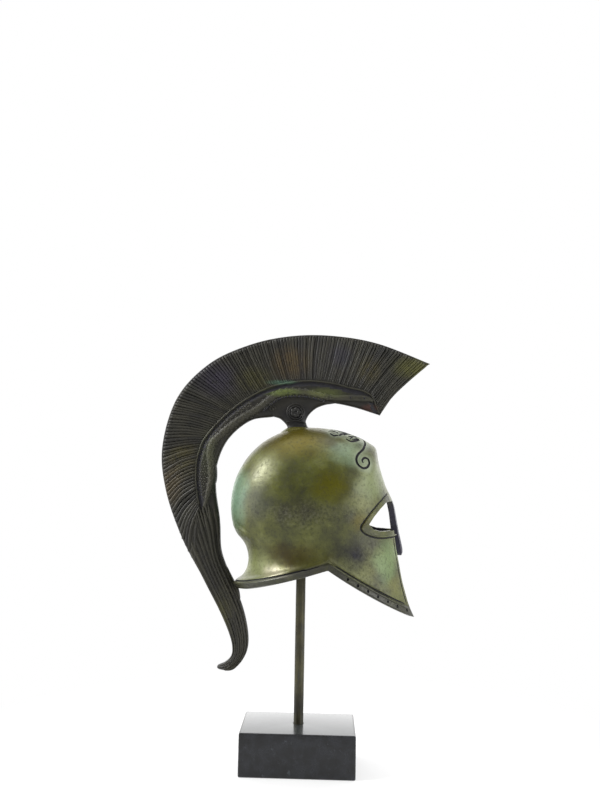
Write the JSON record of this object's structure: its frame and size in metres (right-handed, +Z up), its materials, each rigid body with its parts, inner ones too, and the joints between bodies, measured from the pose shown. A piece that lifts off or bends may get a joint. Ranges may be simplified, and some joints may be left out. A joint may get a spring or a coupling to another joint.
{
  "type": "miniature crested bronze helmet on marble stand",
  "caption": "Miniature Corinthian-style helmet in patinated bronze with a tall swept hair crest, held on a thin rod over a dark marble block, for display.",
  "frame": {"origin": "centre of the marble block's underside", "axes": "+X the way the helmet faces, +Z up, the object is the same on both sides of the XZ plane"},
  "size_m": [0.1473, 0.0666, 0.2316],
  "materials": {
    "marble": "polished",
    "rod_bronze": "satin",
    "green_bronze": "satin",
    "dark_bronze": "satin"
  },
  "bodies": {
    "root": {"base_block": "marble", "support_rod": "rod_bronze", "helmet_shell": "green_bronze", "crest": "dark_bronze"}
  },
  "joints": []
}
